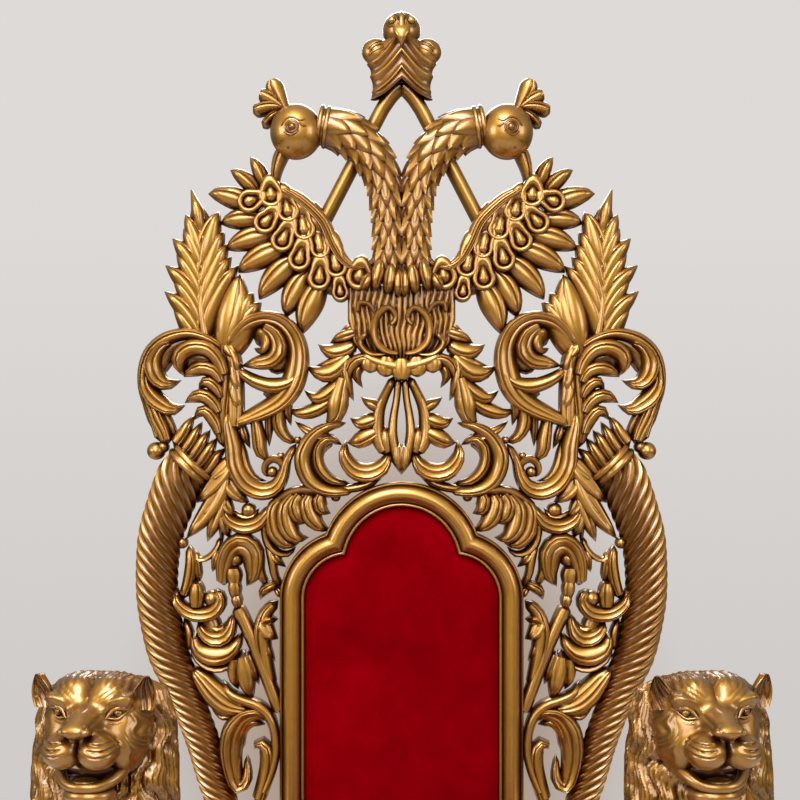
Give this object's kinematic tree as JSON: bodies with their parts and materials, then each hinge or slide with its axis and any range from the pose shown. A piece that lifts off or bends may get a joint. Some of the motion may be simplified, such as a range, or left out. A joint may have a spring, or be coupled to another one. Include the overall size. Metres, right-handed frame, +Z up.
{
  "type": "throne",
  "caption": "Carved gilt wood throne with a tall openwork peacock back, twisted horn posts, lion head arm posts, a crimson velvet back pad and seat cushion.",
  "frame": {"origin": "on the floor, in the middle of the footprint box", "axes": "+Z up, the front of the throne faces -Y, +X to the viewer's right"},
  "size_m": [0.892, 0.7215, 1.7986],
  "materials": {
    "gilt_wood": "antique satin gilding on carved wood",
    "crimson_velvet": "cut pile velvet"
  },
  "bodies": {
    "root": {"openwork": "gilt_wood", "back_frame": "gilt_wood", "back_pad": "crimson_velvet", "back_post_left": "gilt_wood", "back_post_right": "gilt_wood", "lion_post_left": "gilt_wood", "lion_post_right": "gilt_wood", "arm_left": "gilt_wood", "arm_right": "gilt_wood", "side_rail_left": "gilt_wood", "side_rail_right": "gilt_wood", "front_rail": "gilt_wood", "rear_rail": "gilt_wood", "seat_cushion": "crimson_velvet"}
  },
  "joints": []
}
